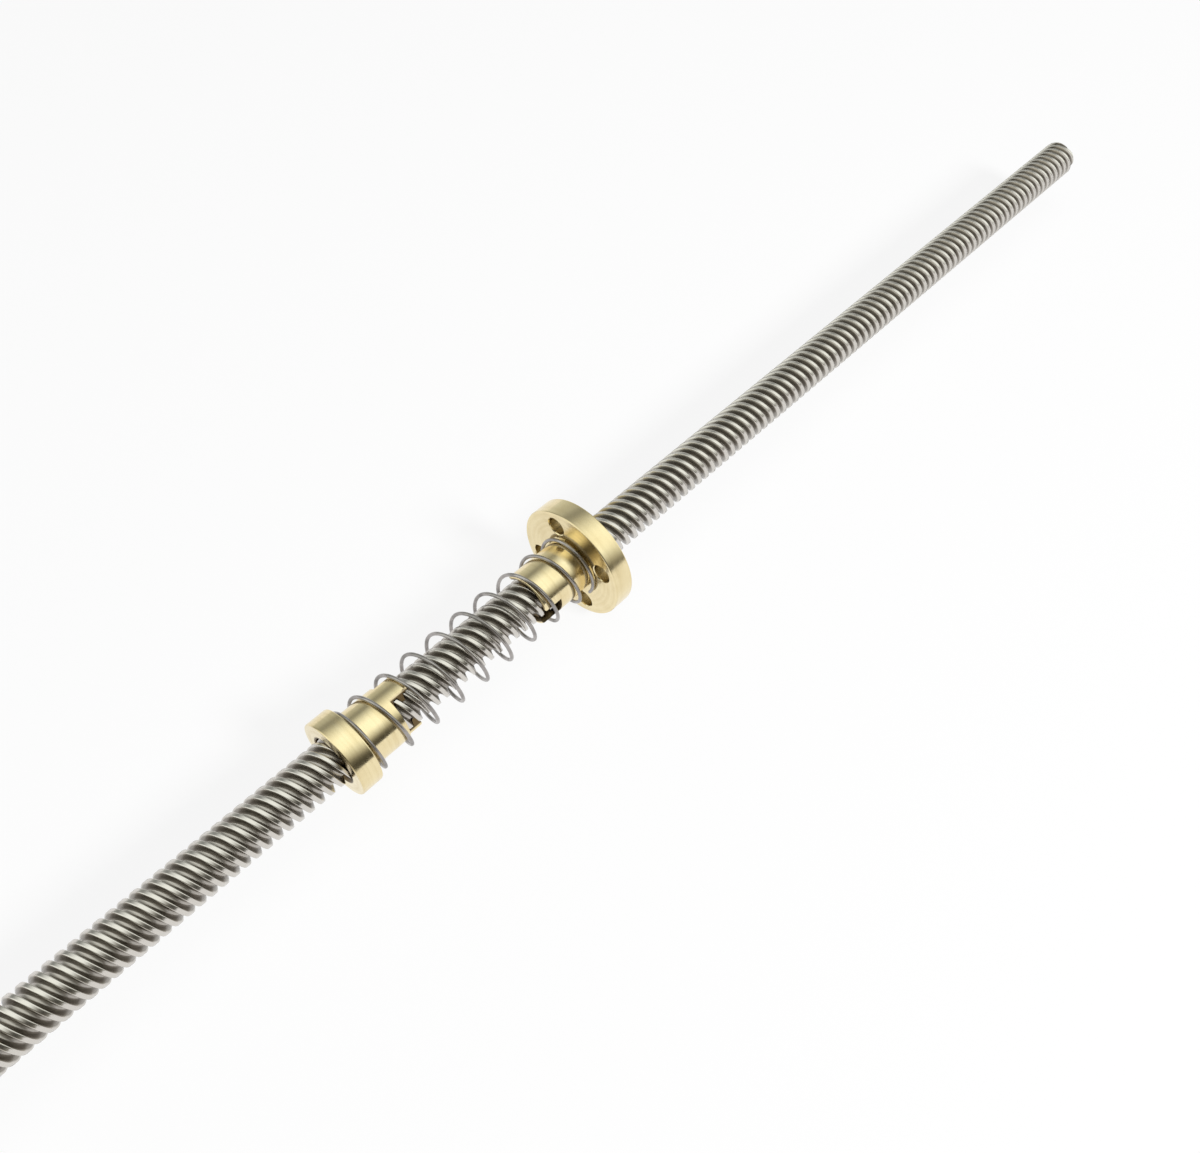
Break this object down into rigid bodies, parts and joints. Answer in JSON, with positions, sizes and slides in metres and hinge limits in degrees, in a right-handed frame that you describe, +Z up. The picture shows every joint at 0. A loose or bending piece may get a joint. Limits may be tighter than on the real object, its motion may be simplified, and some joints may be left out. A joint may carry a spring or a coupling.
{
  "type": "trapezoidal lead screw with sprung nuts",
  "caption": "Multi-start trapezoidal lead screw carrying a flange nut and a smaller follower nut, parted by a compression spring to take up backlash.",
  "frame": {"origin": "centre of the screw's near end face", "axes": "+X along the screw towards its far end and the flange nut's outer face, +Z up as the part lies"},
  "size_m": [0.3, 0.022, 0.022],
  "materials": {
    "screw_steel": "rolled stainless, bright on the crests",
    "nut_brass": "turned, satin",
    "spring_steel": "drawn wire"
  },
  "bodies": {
    "screw": {"lead_screw": "screw_steel"},
    "spring": {"compression_spring": "spring_steel"},
    "big_nut": {"flange_nut": "nut_brass"},
    "small_nut": {"follower_nut": "nut_brass"}
  },
  "joints": [
    {"name": "flange_nut_turn", "type": "hinge", "parent": "spring", "child": "big_nut", "pos_m": [0.129, 0, 0], "axis": [1, 0, 0], "range_deg": [-3240, 7380]},
    {"name": "follower_nut_turn", "type": "hinge", "parent": "spring", "child": "small_nut", "pos_m": [0.0798, 0, 0], "axis": [1, 0, 0], "range_deg": [-3245, 7385]},
    {"name": "set_travel", "type": "slide", "parent": "screw", "child": "spring", "axis": [1, 0, 0], "range_m": [-0.0721, 0.1641]}
  ],
  "couplings": [
    {"joint": "set_travel", "follows": "flange_nut_turn", "m_per_rad": 0.0012732},
    {"joint": "follower_nut_turn", "follows": "flange_nut_turn", "ratio": 1}
  ]
}
